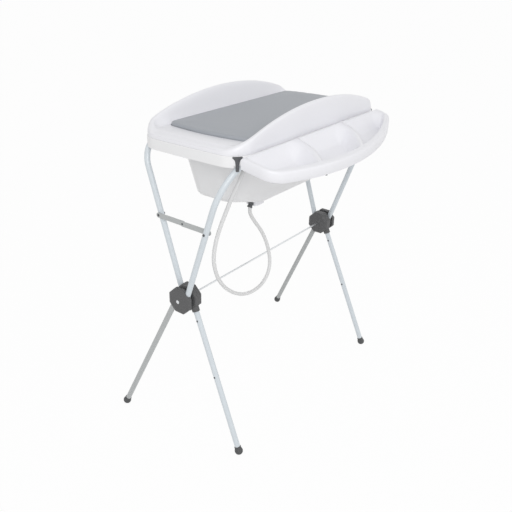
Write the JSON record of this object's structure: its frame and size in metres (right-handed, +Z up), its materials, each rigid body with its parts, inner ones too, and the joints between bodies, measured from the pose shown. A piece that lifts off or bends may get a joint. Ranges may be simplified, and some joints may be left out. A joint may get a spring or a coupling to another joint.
{
  "type": "baby changing table",
  "caption": "Folding cross-leg stand with a baby bath, a padded changing top hinged over it, a scooped side tray and a drain hose.",
  "frame": {"origin": "on the floor, under the middle of the whole outline", "axes": "+Z up; +X along the bath, from the end with the folding brace and the drain hose to the other end; -Y to the front, where the tray is"},
  "size_m": [0.963, 0.606, 1.0703],
  "materials": {
    "stand_tube": "light blue-grey enamelled steel tube, semi-gloss",
    "leg_tube": "grey enamelled steel tube, semi-gloss",
    "hub_plastic": "dark grey moulded nylon, fine matte grain",
    "foot_rubber": "dark soft rubber, matte",
    "bracket_plastic": "dark grey moulded nylon, matte",
    "zinc_steel": "zinc-plated steel, satin",
    "bath_plastic": "pale grey polypropylene, slightly see-through, satin",
    "white_plastic": "white polypropylene, satin",
    "mat_cover": "grey coated cloth over foam, matte",
    "clear_pvc": "milky clear PVC hose, glossy",
    "sump_plastic": "pale polypropylene, satin",
    "seal_rubber": "grey rubber, matte",
    "plug_rubber": "grey rubber, matte"
  },
  "bodies": {
    "front_frame": {"front_upper_tube": "stand_tube", "hub_outer_near": "hub_plastic", "hub_outer_far": "hub_plastic", "back_leg_near": "leg_tube", "back_leg_far": "leg_tube", "back_foot_near": "foot_rubber", "back_foot_far": "foot_rubber", "tie_rod": "zinc_steel", "rod_nuts": "zinc_steel", "hub_washers": "zinc_steel", "hub_screws_outer": "zinc_steel", "bracket_front_near": "bracket_plastic", "bracket_front_far": "bracket_plastic", "rivets_back_legs": "zinc_steel", "brace_bolt_front": "zinc_steel"},
    "back_frame": {"back_upper_tube": "stand_tube", "hub_inner_near": "hub_plastic", "hub_inner_far": "hub_plastic", "front_leg_near": "stand_tube", "front_leg_far": "stand_tube", "front_foot_near": "foot_rubber", "front_foot_far": "foot_rubber", "hub_screws_inner": "zinc_steel", "bracket_back_near": "bracket_plastic", "bracket_back_far": "bracket_plastic", "rivets_front_legs": "zinc_steel", "brace_bolt_back": "zinc_steel"},
    "brace_front": {"brace_bar_front": "stand_tube", "brace_stud": "zinc_steel"},
    "brace_back": {"brace_bar_back": "stand_tube", "brace_cap": "zinc_steel"},
    "bath": {"bath_tub": "bath_plastic", "drain_sump": "sump_plastic", "drain_seal": "seal_rubber", "hose_connector": "bracket_plastic", "drain_hose": "clear_pvc", "hose_clip": "bracket_plastic", "changer_hinge_pins": "zinc_steel"},
    "plug": {"drain_plug": "plug_rubber", "plug_ring": "zinc_steel"},
    "changer": {"changer_top": "white_plastic", "changer_mat": "mat_cover"},
    "tray": {"organiser_tray": "white_plastic", "tray_pegs": "bracket_plastic"}
  },
  "joints": [
    {"name": "frame_fold", "type": "hinge", "parent": "front_frame", "child": "back_frame", "pos_m": [0, 0.05129, 0.495], "axis": [1, 0, 0], "range_deg": [0, 35]},
    {"name": "tub_lift", "type": "slide", "parent": "front_frame", "child": "bath", "axis": [0, 0, 1], "range_m": [0, 1.1]},
    {"name": "brace_front_swing", "type": "hinge", "parent": "front_frame", "child": "brace_front", "pos_m": [-0.4047, -0.04981, 0.745], "axis": [1, 0, 0], "range_deg": [0, 95.5]},
    {"name": "brace_back_swing", "type": "hinge", "parent": "back_frame", "child": "brace_back", "pos_m": [-0.4013, 0.15239, 0.745], "axis": [1, 0, 0], "range_deg": [-95.5, 0]},
    {"name": "changer_flip", "type": "hinge", "parent": "bath", "child": "changer", "pos_m": [0, 0.24829, 0.978], "axis": [-1, 0, 0], "range_deg": [0, 95]},
    {"name": "tray_pull", "type": "slide", "parent": "bath", "child": "tray", "axis": [0, -1, 0], "range_m": [0, 0.03]},
    {"name": "plug_lift", "type": "slide", "parent": "bath", "child": "plug", "axis": [0, 0, 1], "range_m": [0, 0.03]}
  ],
  "couplings": [
    {"joint": "tub_lift", "follows": "frame_fold", "m_per_rad": 1.8},
    {"joint": "brace_front_swing", "follows": "frame_fold", "ratio": 2.726},
    {"joint": "brace_back_swing", "follows": "frame_fold", "ratio": -2.726}
  ]
}
